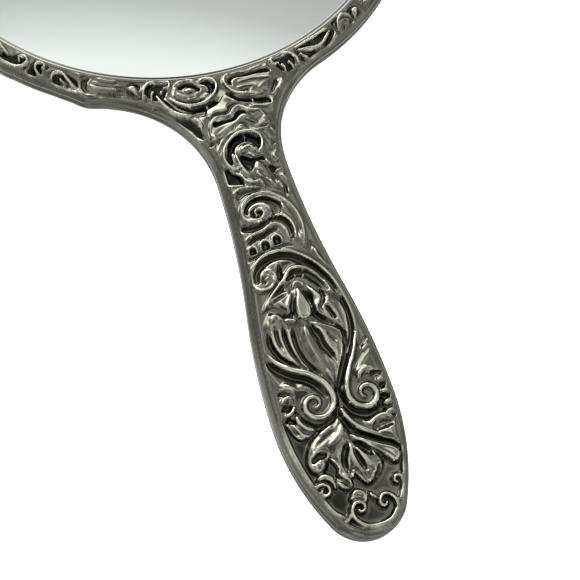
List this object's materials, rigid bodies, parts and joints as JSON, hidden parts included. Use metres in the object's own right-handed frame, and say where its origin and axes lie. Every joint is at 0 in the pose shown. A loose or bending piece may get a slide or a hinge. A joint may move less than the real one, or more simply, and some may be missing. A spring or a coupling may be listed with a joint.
{
  "type": "hand mirror",
  "caption": "Round hand mirror: a bezelled glass in a two-shell plated case with relief ornament on the rim and on a flared handle.",
  "frame": {"origin": "centre of the flat panel on the back of the head, on the surface that the mirror rests on", "axes": "+Y along the handle towards the head, +Z out of the glass, +X across to the right as the glass is looked at with the handle down"},
  "size_m": [0.1344, 0.2418, 0.012],
  "materials": {
    "plated_front": "silver plated, polished, dark in the hollows",
    "plated_back": "silver plated, polished",
    "bezel": "silver plated, bright polished",
    "glass": "polished",
    "silver_film": "bright",
    "sealing_paint": "matt paint film",
    "board": "plain grey-brown card",
    "felt": "pressed wool felt",
    "core_steel": "mill finish",
    "filling": "set pitch and plaster, dull",
    "solder": "dull tin-lead fillet"
  },
  "bodies": {
    "root": {"front_shell": "plated_front", "back_shell": "plated_back", "bezel_ring": "bezel", "mirror_glass": "glass", "silvering": "silver_film", "backing_paint": "sealing_paint", "backing_board": "board", "packing_pad": "felt", "handle_core": "core_steel", "handle_filling": "filling", "filling_dam": "board", "solder_seam": "solder"}
  },
  "joints": []
}
